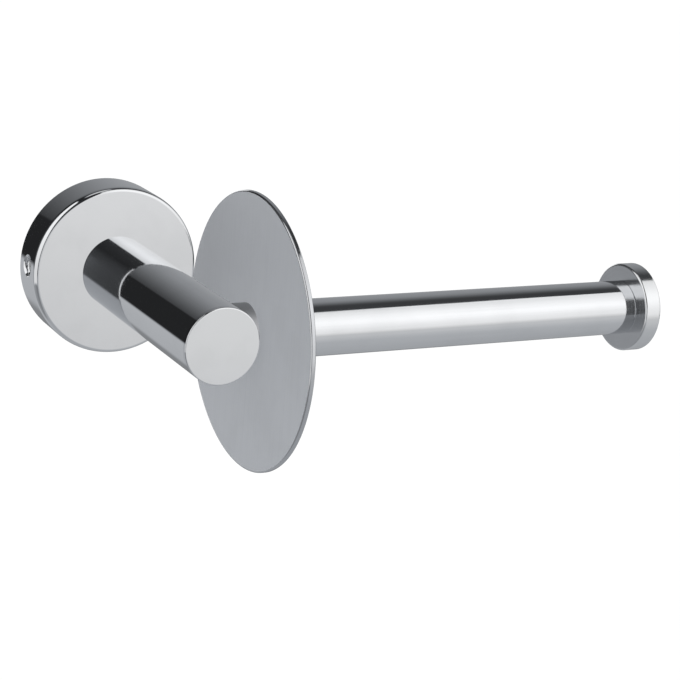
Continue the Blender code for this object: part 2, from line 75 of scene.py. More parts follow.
towards_camera = Vector((
    math.sin(CAMERA_AZIMUTH) * math.cos(CAMERA_ELEVATION),
    -math.cos(CAMERA_AZIMUTH) * math.cos(CAMERA_ELEVATION),
    math.sin(CAMERA_ELEVATION),
))
camera = bpy.data.objects.new("camera", bpy.data.cameras.new("camera"))
bpy.context.scene.collection.objects.link(camera)
camera.data.sensor_width = SENSOR_WIDTH
camera.data.lens = LENS
camera.data.clip_start, camera.data.clip_end = CLIP_RANGE
camera.location = CAMERA_PLACE
camera.rotation_mode = "QUATERNION"
level_view = (-towards_camera).to_track_quat("-Z", "Y")
camera.rotation_quaternion = level_view @ Quaternion((0, 0, 1), CAMERA_ROLL)
bpy.context.scene.camera = camera
bpy.context.scene.view_settings.view_transform = "Standard"
print("camera is", round(CAMERA_PLACE.length * 1000), "mm from the wall bracket")

# %% [markdown]
# ## Shader maths as Python
#
# A material is a graph of nodes, and long graphs are hard to read when each link is its own line of
# code. The class below wraps one socket, so that `1 - mask * 0.5` adds the two Math nodes by itself.
# Every other kind of node comes from one method, which takes the node's type, its settings and the
# values or links of its sockets.

# %% A socket that works like a number
class Socket:
    """An output of a node. Python's operators on it add the Math node that they stand for."""

    def __init__(self, graph, output):
        self.graph = graph
        self.output = output

    def math(self, operation, *operands):
        inputs = dict(enumerate(operands))
        return self.graph.node("ShaderNodeMath", {"operation": operation}, inputs)

    def __add__(self, other):
        return self.math("ADD", self, other)

    def __sub__(self, other):
        return self.math("SUBTRACT", self, other)

    def __mul__(self, other):
        return self.math("MULTIPLY", self, other)

    def __radd__(self, other):
        return self.math("ADD", other, self)

    def __rsub__(self, other):
        return self.math("SUBTRACT", other, self)

    def __rmul__(self, other):
        return self.math("MULTIPLY", other, self)


# %% A graph that makes nodes
class Graph:
    """The nodes of one material, or of the world."""

    def __init__(self, owner):
        owner.use_nodes = True
        self.tree = owner.node_tree
        self.tree.nodes.clear()

    def node(self, kind, settings=None, inputs=None, outputs=(0,)):
        """Add a node: settings first, then values or links. Returns its output, or several."""
        made = self.tree.nodes.new(kind)
        for name, value in (settings or {}).items():
            setattr(made, name, value)
        for key, value in (inputs or {}).items():
            if isinstance(value, Socket):
                self.tree.links.new(value.output, made.inputs[key])
            else:
                made.inputs[key].default_value = value
        sockets = [Socket(self, made.outputs[key]) for key in outputs] if made.outputs else [None]
        return sockets[0] if len(sockets) == 1 else sockets

    def rise(self, value, low, high):
        """0 where value is below low, 1 where it is above high, and a smooth rise between them."""
        settings = {"interpolation_type": "SMOOTHSTEP"}
        inputs = {"Value": value, "From Min": low, "From Max": high}
        return self.node("ShaderNodeMapRange", settings, inputs)

    def blend(self, factor, first, second):
        """Mix two colours, each of which is a tuple or another mix."""
        colours = [value if isinstance(value, Socket) else (*value, 1.0) for value in (first, second)]
        inputs = {0: factor, 6: colours[0], 7: colours[1]}
        return self.node("ShaderNodeMix", {"data_type": "RGBA"}, inputs, (2,))


# %% [markdown]
# ## The studio
#
# Polished steel has hardly any look of its own: what it shows is the room. So the room is drawn as
# a world that depends on direction alone. It is a dark studio with one big soft light in front and to
# the right, a white card on the left, a black flag behind on the left, a grey wall that brightens
# towards the right at the back, a grey floor, a low pale wall straight in front, and small panels
# overhead and straight behind. Each part has a soft edge along a straight line, which in terms of
# direction is a plane through the middle: a sum of x, y and z, each times a number, that is zero on
# the line. The camera itself sees plain white, as on the photograph, through Light Path's Is Camera
# Ray. The greys of the studio are a little cool, and its whites are neutral.

# %% The back of the room
def back_wall(graph, x, y, z):
    """Brightness of the grey wall, which fades towards the front, with the flag over its left part."""
    wall = (0.16 + 0.40 * x) * (1 - 0.42 * graph.rise(x, 0.25, 0.8)) * graph.rise(x, -0.42, -0.3)
    wall = wall + 0.04 * graph.rise(x, 0.0, 0.3) * graph.rise(-1 * z, -0.35, 0.0)
    wall = wall * (0.12 + 0.88 * graph.rise(y, 0.15, 0.75)) + 0.015
    wall = wall + 0.04 * graph.rise(-1 * x, 0.15, 0.35) * graph.rise(-1 * y, 0.3, 0.6)
    flag = graph.rise(-1 * x - 0.33 * y, -0.01, 0.01) * graph.rise(y, 0.3, 0.4)
    flag = flag * (1 - graph.rise(-1 * x, 0.48, 0.56))
    light = wall * (1 - flag) + 0.02 * flag
    return light + 0.08 * graph.rise(-1 * x, 0.48, 0.56) * graph.rise(y, -0.5, 0.0)


# %% The parts in front of it, each as a mask and a brightness
def grey_floor(graph, x, y, z):
    """The floor lies below a slightly tilted horizon, and is darker far right and far left."""
    horizon = 0.05 * y - 0.222
    mask = 1 - graph.rise(z - horizon, -0.03, 0.03)
    dim_right = graph.rise(x, -0.08, 0.08) * graph.rise(y, 0.5, 0.8)
    dim_left = graph.rise(-1 * x, 0.45, 0.62)
    near_box = graph.rise(z - 0.325 * y, -0.55, -0.1) * graph.rise(x, 0.1, 0.35)
    return mask, 0.45 - 0.16 * x * y + 0.11 * near_box - 0.18 * dim_right - 0.17 * dim_left


def soft_light(graph, x, y, z):
    """The big soft light is past three lines, and brightest away from them."""
    past_side = x + 0.172 * y
    past_top = 0.477 * x - 0.778 * y - 0.408 * z
    past_bottom = z - 0.325 * y
    mask = graph.rise(past_side, -0.01, 0.01) * graph.rise(past_top, -0.01, 0.015)
    mask = mask * graph.rise(past_bottom, -0.045, -0.02)
    light = 0.70 + 0.28 * graph.rise(past_bottom, -0.04, 0.2)
    light = light + 0.24 * graph.rise(past_bottom, 0.2, 0.7)
    light = light * (0.75 + 0.25 * graph.rise(past_side, 0.0, 0.2))
    return mask, light * (0.77 + 0.23 * graph.rise(past_top, 0.0, 0.65))


def white_card(graph, x, y, z):
    """The card on the left has a dark gap in its nearer part."""
    mask = graph.rise(-1 * x - 1.33 * y, 0.0, 0.05) * graph.rise(-1 * x + 0.72 * y, 0.0, 0.05)
    mask = mask * graph.rise(-1 * x, 0.33, 0.39) * graph.rise(z, -0.42, -0.36)
    gap = (1 - graph.rise(-1 * x, 0.64, 0.70)) * (1 - graph.rise(-1 * x + 1.1 * y, 0.0, 0.05))
    return mask * (1 - gap), 0.85 + 0.25 * graph.rise(z, -0.2, 0.5)


# %% The room as the metal sees it
def studio_light(graph):
    """Brightness of the studio by direction.

    A part's mask is a product of rises, one for each of its edges. Each part is laid over the ones
    before it, and the pale wall stops at the soft light.
    """
    direction = graph.node("ShaderNodeTexCoord", outputs=("Generated",))
    x, y, z = graph.node("ShaderNodeSeparateXYZ", {}, {0: direction}, (0, 1, 2))
    floor_part = grey_floor(graph, x, y, z)
    box_part = soft_light(graph, x, y, z)
    card_part = white_card(graph, x, y, z)
    pale_wall = graph.rise(-1 * y, 0.905, 0.925) * (1 - graph.rise(z, 0.12, 0.26)) * (1 - box_part[0])

    light = back_wall(graph, x, y, z)
    for mask, brightness in (floor_part, box_part, card_part, (pale_wall, 0.6)):
        light = light * (1 - mask) + brightness * mask
    top_panel = graph.rise(z, 0.965, 0.985)
    rear_panel = graph.rise(y, 0.93, 0.97)
    return light * (1 - top_panel) * (1 - rear_panel) + 0.7 * top_panel + 1.4 * rear_panel


# %% World: white for the camera, the studio for everything else
COOL_GREY = (0.97, 1.0, 1.045)
world = bpy.data.worlds.new("studio")
bpy.context.scene.world = world
sky = Graph(world)
seen_by_camera = sky.node("ShaderNodeLightPath", outputs=("Is Camera Ray",))
strength = studio_light(sky) * (1 - seen_by_camera) + seen_by_camera
tone = sky.blend(sky.rise(strength, 0.4, 0.8), COOL_GREY, (1.0, 1.0, 1.0))
backdrop = sky.node("ShaderNodeBackground", {}, {"Color": tone, "Strength": strength})
sky.node("ShaderNodeOutputWorld", {}, {"Surface": backdrop})
print("studio made of", len(sky.tree.nodes), "nodes")

# %% [markdown]
# ## The floor
#
# The holder hangs on a wall, and such holders are mounted about 0.7 m above the floor, so the floor
# lies that far below. It is pale and plain. Most of its light is its own for the camera, so that it is
# as white as the photograph's background, and a small part is plain paint that takes a shadow. The
# metal doesn't mirror this plane, because the grey floor of the studio is already in the world.

# %% Pale floor
FLOOR_DROP = 0.70
FLOOR_HALF_WIDTH = 12.0
FLOOR_LIGHT = 1.1
FLOOR_LIGHT_SHARE = 0.9

floor_corners = FLOOR_HALF_WIDTH * np.array([[-1, -1], [1, -1], [1, 1], [-1, 1]])
floor_points = np.column_stack([floor_corners, np.full(4, -FLOOR_DROP)])
floor_mesh = bpy.data.meshes.new("floor")
floor_mesh.from_pydata(floor_points.tolist(), [], [(0, 1, 2, 3)])
floor = bpy.data.objects.new("floor", floor_mesh)
bpy.context.scene.collection.objects.link(floor)
floor.visible_glossy = False

paint = Graph(bpy.data.materials.new("floor_paint"))
glow = {"Color": (1.0, 1.0, 1.0, 1.0), "Strength": FLOOR_LIGHT}
own_light = paint.node("ShaderNodeEmission", {}, glow)
matt = paint.node("ShaderNodeBsdfDiffuse", {}, {"Color": (0.80, 0.80, 0.80, 1.0)})
for_camera = paint.node("ShaderNodeLightPath", outputs=("Is Camera Ray",))
share = FLOOR_LIGHT_SHARE * for_camera
surface = paint.node("ShaderNodeMixShader", {}, {0: share, 1: matt, 2: own_light})
paint.node("ShaderNodeOutputMaterial", {}, {"Surface": surface})
floor_mesh.materials.append(bpy.data.materials["floor_paint"])
print("floor lies", FLOOR_DROP, "m below the holder")

# %% [markdown]
# ## Metal finishes
#
# All the metal is steel, and what tells one finish from another is the grain that the last tool left.
# A tube is polished lengthwise, so its faint lines run along it. A turned piece has rings from the
# lathe. A brushed plate has straight lines. Here the grain is a noise texture whose coordinates are
# stretched that way, and it moves the roughness a little and feeds a very shallow bump. A second,
# broad noise stands for the haze that hands and cleaning leave on polished metal.

# %% Coordinates for the grain
def straight_grain(graph, place, scale):
    """Object coordinates scaled along each axis: a small number makes the lines run that way."""
    return graph.node("ShaderNodeMapping", {"vector_type": "POINT"}, {"Vector": place, "Scale": scale})


def turned_grain(graph, place, axis, centre, rings):
    """Rings round an axis: coordinates are the distance from the axis and the distance along it."""
    inputs = {"Vector": place, "Location": tuple(-value for value in centre)}
    moved = graph.node("ShaderNodeMapping", {"vector_type": "POINT"}, inputs)
    across = {"X": (0.0, 1.0, 1.0), "Y": (1.0, 0.0, 1.0)}[axis]
    flat = graph.node("ShaderNodeVectorMath", {"operation": "MULTIPLY"}, {0: moved, 1: across})
    radius = graph.node("ShaderNodeVectorMath", {"operation": "LENGTH"}, {0: flat}, ("Value",))
    along = graph.node("ShaderNodeSeparateXYZ", {}, {0: moved}, ("XYZ".index(axis),))
    return graph.node("ShaderNodeCombineXYZ", {}, {0: radius * rings, 1: along * rings})


# %% A steel finish
HAZE_SCALE = 70.0
HAZE_RANGE = (0.42, 0.72)
GRAIN_RANGE = (0.35, 0.75)
STAIN = 0.94


def steel_finish(name, colour, roughness, grain, lines, haze, relief, face=None, rest=None):
    """A bare steel material.

    grain(graph, place) gives the coordinates of the grain. lines and haze are how much the grain and
    the haze add to the roughness, and relief is the depth of the grain in metres. face(graph, place)
    gives a mask and a roughness of its own for a flat face, and rest is the colour outside that face.
    """
    graph = Graph(bpy.data.materials.new(name))
    place = graph.node("ShaderNodeTexCoord", outputs=("Object",))
    vector = grain(graph, place)
    noise = {"Vector": vector, "Scale": 1.0, "Detail": 3.0, "Roughness": 0.6}
    grain_value = graph.node("ShaderNodeTexNoise", {}, noise)
    broad = {"Vector": place, "Scale": HAZE_SCALE, "Detail": 4.0, "Roughness": 0.55}
    haze_value = graph.rise(graph.node("ShaderNodeTexNoise", {}, broad), *HAZE_RANGE)
    fine = graph.rise(grain_value, *GRAIN_RANGE)

    total = roughness + lines * fine + haze * haze_value
    if face:
        mask, dull = face(graph, place)
        total = total * (1 - mask) + (dull + lines * fine + haze * haze_value) * mask
    darker = tuple(STAIN * value for value in colour)
    tint = graph.blend(0.6 * haze_value + 0.4 * fine, colour, darker)
    # A face colour that differs from the rest colour on one piece of steel is painted light and shade.
    if rest:
        tint = graph.blend(mask, rest, tint)
    height = {"Height": grain_value, "Strength": 1.0, "Distance": relief}
    normal = graph.node("ShaderNodeBump", {}, height)
    inputs = {"Base Color": tint, "Metallic": 1.0, "Roughness": total, "Normal": normal}
    shader = graph.node("ShaderNodeBsdfPrincipled", {}, inputs)
    graph.node("ShaderNodeOutputMaterial", {}, {"Surface": shader})
    return bpy.data.materials[name]


# %% [markdown]
# ## Making a turned piece
#
# A lathe makes a surface of revolution: a profile of (distance along the axis, radius) points, turned
# once round the axis. That is a grid with two parameters, the place on the profile and the angle, and
# numpy works out all its points at once. A spin in bmesh or a Screw modifier would do the same, but
# the grid can also be bent by a formula, for a thread or for an end that fits another tube.

# %% Profiles
def arc(centre, radius, start, end, steps=8):
    """Points on a circle in the profile's plane, from angle start to angle end in degrees.

    A pair of radii, along and across, makes it an oval.
    """
    angle = np.radians(np.linspace(start, end, steps + 1))
    return np.array(centre) + np.array(radius) * np.column_stack([np.cos(angle), np.sin(angle)])


def profile(*parts):
    """Join points and arcs to one profile of (along, radius) rows."""
    return np.vstack([np.atleast_2d(part) for part in parts])


GUARD = 0.00012


def guarded(points):
    """Add a point near both ends of each long stretch of a profile.

    Smooth shading then bends the light only in the narrow strip next to a rounded edge, and
    the long stretch beside it stays truly flat.
    """
    start, end = points[:-1], points[1:]
    stretch = end - start
    length = np.linalg.norm(stretch, axis=1)
    long = length > 4 * GUARD
    step = stretch * (GUARD / np.maximum(length, GUARD))[:, None]
    rows = np.stack([start, start + step, end - step], axis=1)
    keep = np.column_stack([np.full(len(long), True), long, long])
    return np.vstack([rows[keep], points[-1:]])


# %% Grids and faces
SAME_POINT = 1e-9


def turn_profile(points, steps, start=0.0):
    """Point of a row (a, r) at angle t: a along the axis, and r times (cos t, sin t) across it."""
    angle = start + np.arange(steps) * 2 * np.pi / steps
    along, radius = points[:, :1], points[:, 1:]
    return np.stack([along + 0 * angle, radius * np.cos(angle), radius * np.sin(angle)], axis=-1)


def grid_index(points, closed):
    """Number the points of a grid. A row at the axis is one point, and a ring ends on its first row."""
    rows, columns = points.shape[:2]
    index = np.arange(rows * columns).reshape(rows, columns)
    single = np.ptp(points, axis=1).max(axis=1) < SAME_POINT
    index = np.where(single[:, None], index[:, :1], index)
    return np.vstack([index, index[:1]]) if closed else index


def grid_faces(index):
    """Faces between neighbouring rows, whose columns close round the axis, facing outwards.

    Each face is a point, the one beside it, and the two in the next row. Where a row is one point,
    the face is a triangle.
    """
    here, beyond = index[:-1], index[1:]
    quads = np.stack([here, np.roll(here, -1, 1), np.roll(beyond, -1, 1), beyond], axis=-1)
    quads = quads.reshape(-1, 4)
    at_start = quads[:, 0] == quads[:, 1]
    at_end = quads[:, 2] == quads[:, 3]
    triangles = np.vstack([quads[at_start][:, [0, 2, 3]], quads[at_end][:, :3]])
    return quads[~(at_start | at_end)].tolist() + triangles.tolist()


# %% From points to a piece
SHARP_ANGLE = math.radians(35)
ARM_AXIS = np.array([[0, -1, 0], [1, 0, 0], [0, 0, 1]])
BAR_AXIS = np.array([[1, 0, 0], [0, 1, 0], [0, 0, 1]])


def add_piece(name, vertices, faces, finish, body, slot_name, *nodes):
    """Make a mesh object that rides on a body and stands for CAD nodes."""
    used = np.unique(np.concatenate(faces))
    renumber = np.zeros(len(vertices), int)
    renumber[used] = np.arange(len(used))
    mesh = bpy.data.meshes.new(name)
    mesh.from_pydata(vertices[used].tolist(), [], [renumber[face].tolist() for face in faces])
    mesh.shade_smooth()
    mesh.set_sharp_from_angle(angle=SHARP_ANGLE)
    mesh.materials.append(finish)
    piece = bpy.data.objects.new(name, mesh)
    bpy.context.scene.collection.objects.link(piece)
    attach(piece, body)
    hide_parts(*nodes)
    print(name, "has", len(faces), "faces and stands for", ", ".join(nodes))
    return piece


def add_turned(name, points, steps, axes, origin, finish, slot_name, *nodes, closed=False):
    """Turn a profile and place it: along the first of the axes, across the other two.

    A closed profile is a ring, for a piece with a bore.
    """
    grid = turn_profile(guarded(points), steps)
    faces = grid_faces(grid_index(grid, closed))
    vertices = np.asarray(origin) + grid.reshape(-1, 3) @ axes
    return add_piece(name, vertices, faces, finish, "holder", slot_name, *nodes)


# %% [markdown]
# ## The flange
#
# The flange is a cup turned from steel and polished all over, its flat face a little less finely than
# its rim. In its rim, on the left, is the tapped hole of the grub screw. A Boolean could cut the hole,
# but it leaves long thin triangles that spoil a mirror. Instead a block of the grid is taken out round
# the hole, and the gap is filled by a grid of its own. The outermost loop of that grid is the edge of
# the block. Its next loops shrink to a circle, go down the threaded wall, and widen again to the edge
# of the same block on the inner side.

# %% Sizes of the flange
flange_low, flange_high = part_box("flange_cup")
FLANGE_RADIUS = flange_high.x
FLANGE_DEPTH = -flange_low.y
FLANGE_EDGE = (0.0018, 0.0012)
FLANGE_WALL = 0.0024
FLANGE_FRONT = 0.0018
FLANGE_BORE = FLANGE_RADIUS - FLANGE_WALL
FLANGE_INNER_DEPTH = FLANGE_DEPTH - FLANGE_FRONT
BOLT_HOLE = 0.0043
WALL_EDGE = 0.0002
STEEL = (0.80, 0.81, 0.825)

SCREW_TILT = 2.5
SCREW_TURN = math.radians(180 - SCREW_TILT)
SCREW_PLACE = 0.48 * FLANGE_DEPTH
SCREW_HOLE = 0.0028
HOLE_LIP = 0.0005
FLANGE_STEPS = 288
BLOCK_COLUMNS = 16
BLOCK_ROWS = 12
BLOCK_START = 0.0026
print("flange, mm:", round(2000 * FLANGE_RADIUS, 1), "across,", round(1000 * FLANGE_DEPTH, 1), "deep")

# %% Profile of the cup, with the same rows on the rim and on the bore beside the hole
block_along = np.linspace(BLOCK_START, FLANGE_DEPTH - FLANGE_EDGE[0], BLOCK_ROWS + 1)
edge_centre = (FLANGE_DEPTH - FLANGE_EDGE[0], FLANGE_RADIUS - FLANGE_EDGE[1])
wall_edge = arc((WALL_EDGE, FLANGE_RADIUS - WALL_EDGE), WALL_EDGE, 180, 90, 4)
lead_in = guarded(profile((0, FLANGE_BORE), wall_edge, (block_along[0], FLANGE_RADIUS)))
rim_rows = np.column_stack([block_along[1:], np.full(BLOCK_ROWS, FLANGE_RADIUS)])
front = guarded(profile(
    arc(edge_centre, FLANGE_EDGE, 90, 0, 28)[1:], (FLANGE_DEPTH, BOLT_HOLE),
    (FLANGE_INNER_DEPTH, BOLT_HOLE), (FLANGE_INNER_DEPTH, FLANGE_BORE),
))
bore_rows = np.column_stack([block_along[::-1], np.full(BLOCK_ROWS + 1, FLANGE_BORE)])
cup_profile = profile(lead_in, rim_rows, front, bore_rows)

rim_start = len(lead_in) - 1
bore_start = len(lead_in) + len(rim_rows) + len(front)
first_turn = SCREW_TURN - BLOCK_COLUMNS / 2 * 2 * np.pi / FLANGE_STEPS
cup_grid = turn_profile(cup_profile, FLANGE_STEPS, first_turn)
cup_index = grid_index(cup_grid, closed=True)
print("cup grid has", cup_grid.shape[0], "rows and", cup_grid.shape[1], "columns")


# %% The block of the grid that the hole takes out
def block_loop(block):
    """The border of a block of an index grid, once round: first row, last column, and back."""
    return np.concatenate([block[0, :-1], block[:-1, -1], block[-1, :0:-1], block[:0:-1, 0]])


rim_block = cup_index[rim_start:rim_start + BLOCK_ROWS + 1, :BLOCK_COLUMNS + 1]
bore_block = cup_index[bore_start:bore_start + BLOCK_ROWS + 1, :BLOCK_COLUMNS + 1][::-1]
rim_loop, bore_loop = block_loop(rim_block), block_loop(bore_block)

cup_faces = np.array(grid_faces(cup_index))
inside_block = np.isin(cup_faces, rim_block).all(axis=1)
inside_block |= np.isin(cup_faces, bore_block).all(axis=1)
cup_faces = cup_faces[~inside_block]
print("hole takes out", inside_block.sum(), "faces, and its border has", len(rim_loop), "points")

# %% [markdown]
# The hole is easiest in flat coordinates: s along the rim, a off the wall, and the depth, which is
# the distance from the flange's middle along the screw's axis. On a round wall of radius R, a point at
# s has the depth sqrt(R² - s²). The thread is a wave on the radius of the hole that climbs by one pitch
# in each turn, and it fades out at both ends.

# %% Thread, and flat coordinates
def thread_wave(along, turn, pitch):
    """A ridge that climbs one pitch a turn: from -1 in the valley to 1 on the crest, pointed."""
    phase = (along / pitch - turn / (2 * np.pi)) % 1
    return 1 - 4 * np.abs(phase - 0.5)


def flat_loop(loop, radius):
    """Flat coordinates (s, a) of points on a round wall of the given radius."""
    points = cup_grid.reshape(-1, 3)[loop]
    turn = np.arctan2(points[:, 2], points[:, 1]) - SCREW_TURN
    return np.column_stack([radius * np.sin(turn), points[:, 0] - SCREW_PLACE])


# %% The hole's own grid
THREAD_PITCH = 0.0008
THREAD_HEIGHT = 0.0002
THREAD_MARGIN = 0.0001
THREAD_FADE = 4
OUTER_LOOPS, WALL_LOOPS, INNER_LOOPS = 8, 30, 5

rim_edge, bore_edge = flat_loop(rim_loop, FLANGE_RADIUS), flat_loop(bore_loop, FLANGE_BORE)
turn = np.arctan2(rim_edge[:, 1], rim_edge[:, 0])
circle = np.column_stack([np.cos(turn), np.sin(turn)])

share = np.linspace(1, 0, OUTER_LOOPS + 1)[1:, None, None]
outer_flat = share * rim_edge + (1 - share) * (SCREW_HOLE + HOLE_LIP) * circle
outer_depth = np.sqrt(FLANGE_RADIUS ** 2 - outer_flat[..., 0] ** 2)
wall_start = FLANGE_RADIUS - HOLE_LIP - THREAD_MARGIN
wall_depth = np.linspace(wall_start, FLANGE_BORE + THREAD_MARGIN, WALL_LOOPS)[:, None]
down_wall = np.linspace(0, 1, WALL_LOOPS)[:, None]
fade = np.minimum(1, THREAD_FADE * np.minimum(down_wall, 1 - down_wall))
wall_radius = SCREW_HOLE + THREAD_HEIGHT * fade * thread_wave(wall_depth, turn, THREAD_PITCH)
wall_flat = wall_radius[..., None] * circle
inner_share = np.linspace(0, 1, INNER_LOOPS + 1)[:-1, None, None]
inner_flat = inner_share * bore_edge + (1 - inner_share) * SCREW_HOLE * circle
inner_depth = np.sqrt(FLANGE_BORE ** 2 - inner_flat[..., 0] ** 2)

hole_flat = np.concatenate([outer_flat, wall_flat, inner_flat])
hole_depth = np.concatenate([outer_depth, wall_depth + 0 * turn, inner_depth])
print("hole grid has", hole_flat.shape[0], "loops of", hole_flat.shape[1], "points")

# %% Put the cup and its hole together
outwards = np.array([0, math.cos(SCREW_TURN), math.sin(SCREW_TURN)])
sideways = np.array([0, -math.sin(SCREW_TURN), math.cos(SCREW_TURN)])
off_wall = np.array([1, 0, 0])
hole_points = (
    hole_depth[..., None] * outwards + hole_flat[..., :1] * sideways
    + (SCREW_PLACE + hole_flat[..., 1:]) * off_wall
)
cup_count = cup_grid.shape[0] * cup_grid.shape[1]
hole_index = cup_count + np.arange(hole_flat.shape[0] * hole_flat.shape[1])
hole_index = np.vstack([rim_loop, hole_index.reshape(hole_flat.shape[:2]), bore_loop])
cup_points = np.vstack([cup_grid.reshape(-1, 3), hole_points.reshape(-1, 3)]) @ ARM_AXIS
cup_faces = cup_faces.tolist() + grid_faces(hole_index)
print("cup and hole have", len(cup_points), "points")

# %% The flange and its finish
FACE_MASK_START = 0.00015
FACE_MASK_FULL = 0.00002
FACE_ROUGHNESS = 0.06


def flange_face(graph, place):
    """The flat face. The mask rises with the distance from the wall, just before the face's plane."""
    out = graph.node("ShaderNodeSeparateXYZ", {}, {0: place}, (1,))
    mask = graph.rise(-1 * out, FLANGE_DEPTH - FACE_MASK_START, FLANGE_DEPTH - FACE_MASK_FULL)
    return mask, FACE_ROUGHNESS


flange_finish = steel_finish(
    "flange_steel", STEEL, 0.03,
    lambda graph, place: turned_grain(graph, place, "Y", (0, 0, 0), 5000.0),
    lines=0.015, haze=0.02, relief=0.0000003, face=flange_face,
)
add_piece(
    "flange_cup_turned", cup_points, cup_faces, flange_finish, "holder", "polished_steel", "flange_cup"
)

# %% [markdown]
# ## The arm
#
# The arm is one straight tube that stands on the flange's face, closed in front by a disc whose edge
# is only just broken. The tube is polished like a mirror: the stripes along it are the studio, and
# the lighter first third is the flange's face in the polish. So the tube itself stays quite plain, and
# its small faults are very fine lines along it.

# %% Arm tube and end cap
arm_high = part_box("arm_tube")[1]
cap_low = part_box("arm_end_cap")[0]
ARM_WALL = 0.0012
ARM_RADIUS = arm_high.x
ARM_BORE = ARM_RADIUS - ARM_WALL
CAP_THICKNESS = 0.0015
ARM_END = -cap_low.y
ARM_CAP_REAR = ARM_END - CAP_THICKNESS
ARM_EDGE = 0.0003
CAP_MASK_START = 0.00006
CAP_MASK_FULL = 0.00001
CAP_ROUGHNESS = 0.07
CONTACT = 0.0001
ARM_STEPS = 192

arm_finish = steel_finish(
    "arm_steel", STEEL, 0.035,
    lambda graph, place: straight_grain(graph, place, (2600.0, 25.0, 2600.0)),
    lines=0.025, haze=0.025, relief=0.0000003,
)
arm_profile = profile(
    (FLANGE_DEPTH - CONTACT, ARM_BORE), (FLANGE_DEPTH - CONTACT, ARM_RADIUS),
    (ARM_CAP_REAR, ARM_RADIUS), (ARM_CAP_REAR, ARM_BORE),
)
arm_tube = add_turned(
    "arm_tube_polished", arm_profile, ARM_STEPS, ARM_AXIS, (0, 0, 0), arm_finish,
    "polished_steel", "arm_tube", closed=True,
)


def cap_face(graph, place):
    """The cap's flat face, which is a little less finely polished than its side and edge. Its colour is
    lighter than theirs, as painted light.
    """
    out = graph.node("ShaderNodeSeparateXYZ", {}, {0: place}, (1,))
    return graph.rise(-1 * out, ARM_END - CAP_MASK_START, ARM_END - CAP_MASK_FULL), CAP_ROUGHNESS


# The face's lighter colour and the darker rest colour of side and edge are painted light and shade on
# one piece of steel.
cap_finish = steel_finish(
    "arm_cap_steel", (0.88, 0.89, 0.90), 0.035,
    lambda graph, place: turned_grain(graph, place, "Y", (0, 0, 0), 6000.0),
    lines=0.03, haze=0.02, relief=0.0000003, face=cap_face, rest=(0.70, 0.71, 0.725),
)
cap_profile = profile(
    (ARM_CAP_REAR, 0), (ARM_CAP_REAR, ARM_RADIUS),
    arc((ARM_END - ARM_EDGE, ARM_RADIUS - ARM_EDGE), ARM_EDGE, 90, 0, 8), (ARM_END, 0),
)
arm_cap = add_turned(
    "arm_end_cap_polished", cap_profile, ARM_STEPS, ARM_AXIS, (0, 0, 0), cap_finish,
    "polished_steel", "arm_end_cap",
)

# %% [markdown]
# ## The collar between arm and disc
#
# The collar is as wide as the bar and left as turned, so it is duller. Its darker grey colour is a
# painted reflection of the grey disc beside it, which mirrors leave out. Its outer end is flat, against
# the disc, and its inner end is hollowed to sit on the round arm. With the arm's axis along Y, a point
# of the collar at height z touches the arm at x = sqrt(R² - z²). So the first rows of the grid start
# there, instead of at a fixed distance, and no cutting is needed. A row's place along the collar is
# written as a share of its length, 0 at the arm and 1 at the disc.

# %% Saddle collar
bar_low, bar_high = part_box("bar_tube")
disc_low, disc_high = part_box("guard_disc")
BAR_RADIUS = bar_high.z
BAR_CENTRE = ((bar_low + bar_high) / 2).y
BAR_ORIGIN = (0, BAR_CENTRE, 0)
DISC_NEAR, DISC_FAR = disc_low.x, disc_high.x
STUD_HOLE = 0.0033
COLLAR_EDGE = 0.0001
COLLAR_EDGE_SHARE = 0.02
COLLAR_STEPS = 192

collar_rows = profile(
    (0, STUD_HOLE), (0, BAR_RADIUS - COLLAR_EDGE), (COLLAR_EDGE_SHARE, BAR_RADIUS),
    (1 - COLLAR_EDGE_SHARE, BAR_RADIUS), (1, BAR_RADIUS - COLLAR_EDGE), (1, STUD_HOLE),
)
collar_grid = turn_profile(collar_rows, COLLAR_STEPS)
saddle = np.sqrt((ARM_RADIUS - CONTACT) ** 2 - collar_grid[..., 2] ** 2)
collar_grid[..., 0] = saddle + collar_grid[..., 0] * (DISC_NEAR - saddle)
# The dark grey colour is a painted reflection of the grey disc beside it, not the steel's own colour.
collar_finish = steel_finish(
    "collar_steel", (0.56, 0.57, 0.59), 0.50,
    lambda graph, place: turned_grain(graph, place, "X", BAR_ORIGIN, 2600.0),
    lines=0.08, haze=0.05, relief=0.0000020,
)
saddle_collar = add_piece(
    "saddle_collar_turned", collar_grid.reshape(-1, 3) @ BAR_AXIS + np.array(BAR_ORIGIN),
    grid_faces(grid_index(collar_grid, closed=True)), collar_finish, "holder", "polished_steel",
    "saddle_collar",
)
print("collar, mm off the arm's axis:", round(1000 * saddle.min(), 2), "to", round(1000 * DISC_NEAR, 2))

# %% [markdown]
# ## The guard disc
#
# The disc is cut from sheet and brushed, so it is much duller than the tubes. It shows no picture of
# the arm beside it, only an even grey with very faint upright lines. Its thin edge is smoother, and
# both its corners are rounded, which gives the fine light and dark lines along the edge. The edge is
# also painted a darker grey than the faces, as painted shade.

# %% Guard disc
DISC_RADIUS = disc_high.z
DISC_EDGE = (0.0004, 0.0005)
DISC_MASK_END = 0.9 * DISC_EDGE[1]
DISC_ROUGHNESS = 0.50
DISC_STEPS = 320


def disc_face(graph, place):
    """Both flat faces: everything but the rounded corners and the edge between them."""
    moved = graph.node("ShaderNodeMapping", {}, {"Vector": place, "Location": (0, -BAR_CENTRE, 0)})
    flat = graph.node("ShaderNodeVectorMath", {"operation": "MULTIPLY"}, {0: moved, 1: (0, 1, 1)})
    radius = graph.node("ShaderNodeVectorMath", {"operation": "LENGTH"}, {0: flat}, ("Value",))
    mask = 1 - graph.rise(radius, DISC_RADIUS - DISC_EDGE[1], DISC_RADIUS - DISC_MASK_END)
    return mask, DISC_ROUGHNESS
